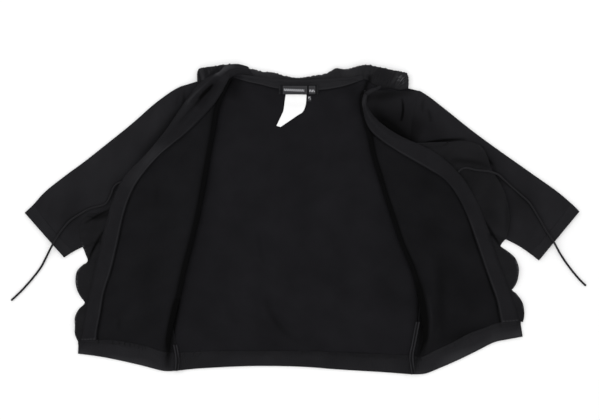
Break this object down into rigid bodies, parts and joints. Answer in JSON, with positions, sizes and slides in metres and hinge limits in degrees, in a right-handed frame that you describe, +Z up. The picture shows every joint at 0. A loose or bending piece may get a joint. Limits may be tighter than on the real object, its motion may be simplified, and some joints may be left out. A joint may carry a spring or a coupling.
{
  "type": "cardigan",
  "caption": "Short open cardigan in fine black knit, laid flat on its back with both fronts turned open over three-quarter sleeves; ruffled front and neck edges, ribbed bands, thin ties.",
  "frame": {"origin": "on the resting surface, under the middle of the back panel's underside", "axes": "+Z up from the surface, +Y from hem to neck, +X from the wearer's right cuff to the wearer's left cuff"},
  "size_m": [0.9794, 0.5274, 0.0166],
  "materials": {
    "knit": "matte fine-gauge knit",
    "facing_knit": "matte fine-gauge knit, edge-stitched",
    "ruffle_knit": "matte knit with a scalloped edge",
    "rib": "matte ribbed knit",
    "cord": "matte knitted cord",
    "label_black": "woven satin",
    "label_grey": "woven satin",
    "label_white": "printed-label satin, bare"
  },
  "bodies": {
    "root": {"back_panel": "knit", "right_front_panel": "knit", "left_front_panel": "knit", "right_sleeve": "knit", "left_sleeve": "knit", "right_front_facing": "facing_knit", "left_front_facing": "facing_knit", "back_neck_facing": "facing_knit", "right_front_ruffle": "ruffle_knit", "left_front_ruffle": "ruffle_knit", "collar_ruffle": "ruffle_knit", "back_hem_band": "rib", "right_front_hem_band": "rib", "left_front_hem_band": "rib", "right_cuff_band": "rib", "left_cuff_band": "rib", "right_side_seam": "rib", "left_side_seam": "rib", "right_tie": "cord", "left_tie": "cord", "label_strip": "label_black", "woven_label": "label_grey", "size_label": "label_grey", "size_tab": "label_grey", "care_label": "label_white"}
  },
  "joints": []
}
